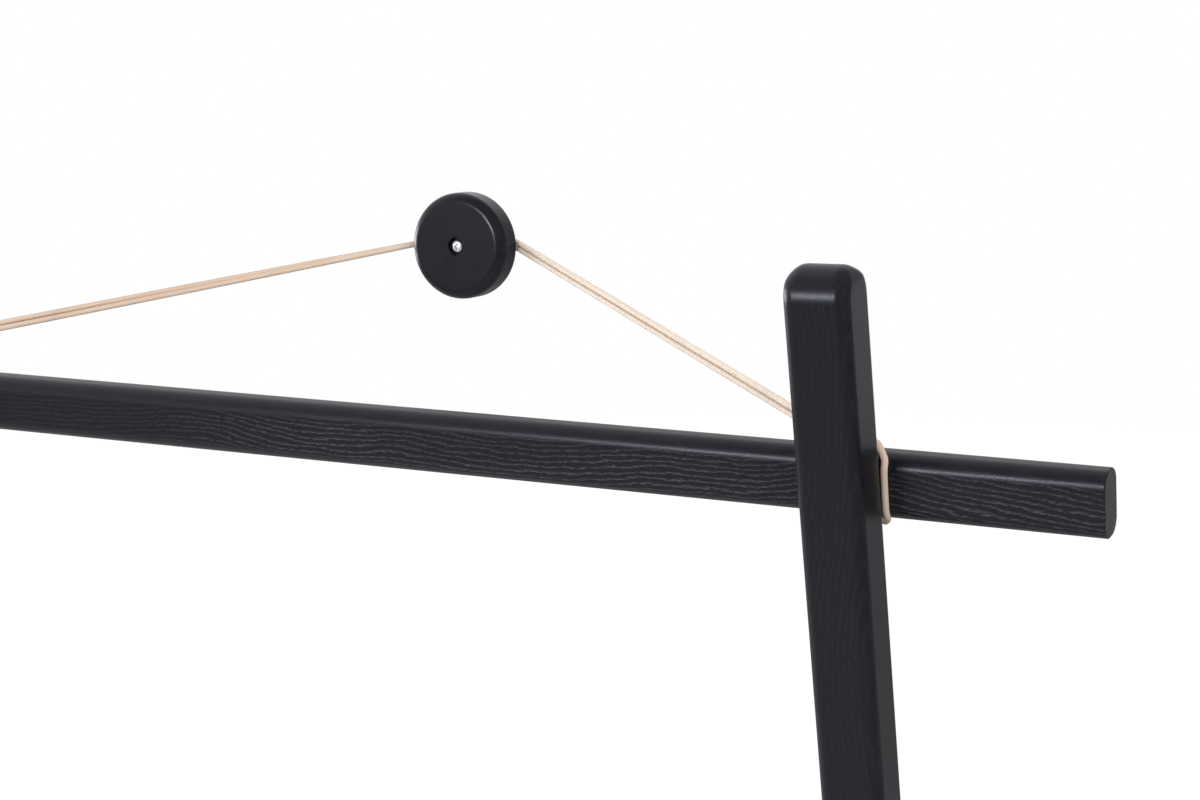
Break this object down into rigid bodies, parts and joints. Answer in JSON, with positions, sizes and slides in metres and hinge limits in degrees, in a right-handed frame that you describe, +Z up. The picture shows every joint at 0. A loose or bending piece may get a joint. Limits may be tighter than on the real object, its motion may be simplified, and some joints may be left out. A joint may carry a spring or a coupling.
{
  "type": "kimono stand",
  "caption": "Leaning two-post clothes stand with a flat-oval top bar, tied to a round wall knob by a doubled leather cord.",
  "frame": {"origin": "on the floor, below the middle of the stand's outline with its wall fixing", "axes": "+Z up, +Y into the wall that the stand leans from, +X along the bars to the right as seen from the room"},
  "size_m": [1.176, 0.4286, 1.6022],
  "materials": {
    "stained_ash": "black-stained open-pored ash, satin lacquer, rounded edges",
    "stained_knob": "black-stained turned wood, smooth satin lacquer",
    "cord_leather": "natural vegetable-tanned round leather cord, undyed",
    "keeper_leather": "natural leather sleeve, cut edges",
    "zinc_steel": "bright zinc plate",
    "insert_brass": "plain machined brass",
    "dowel_beech": "plain unfinished beech",
    "felt_pad": "pressed dark grey felt",
    "plug_nylon": "grey moulded nylon"
  },
  "bodies": {
    "wall_anchor": {"wall_knob": "stained_knob", "wall_screw": "zinc_steel", "wall_plug": "plug_nylon"},
    "frame": {"post_left": "stained_ash", "post_right": "stained_ash", "top_bar": "stained_ash", "lower_rail": "stained_ash", "foot_pad_left": "felt_pad", "foot_pad_right": "felt_pad", "bolt_top_left": "zinc_steel", "washer_top_left": "zinc_steel", "insert_top_left": "insert_brass", "dowel_top_left": "dowel_beech", "bolt_top_right": "zinc_steel", "washer_top_right": "zinc_steel", "insert_top_right": "insert_brass", "dowel_top_right": "dowel_beech", "bolt_low_left": "zinc_steel", "washer_low_left": "zinc_steel", "insert_low_left": "insert_brass", "dowel_low_left": "dowel_beech", "bolt_low_right": "zinc_steel", "washer_low_right": "zinc_steel", "insert_low_right": "insert_brass", "dowel_low_right": "dowel_beech", "cord_strand_front": "cord_leather", "cord_strand_rear": "cord_leather", "cord_loop_left": "cord_leather", "cord_loop_right": "cord_leather", "cord_keeper_left": "keeper_leather", "cord_keeper_right": "keeper_leather"}
  },
  "joints": [
    {"name": "frame_tilt", "type": "hinge", "parent": "wall_anchor", "child": "frame", "pos_m": [0, 0.10722, 0], "axis": [1, 0, 0], "range_deg": [-9.5, 0], "deforming": ["cord_strand_front", "cord_strand_rear"]}
  ]
}
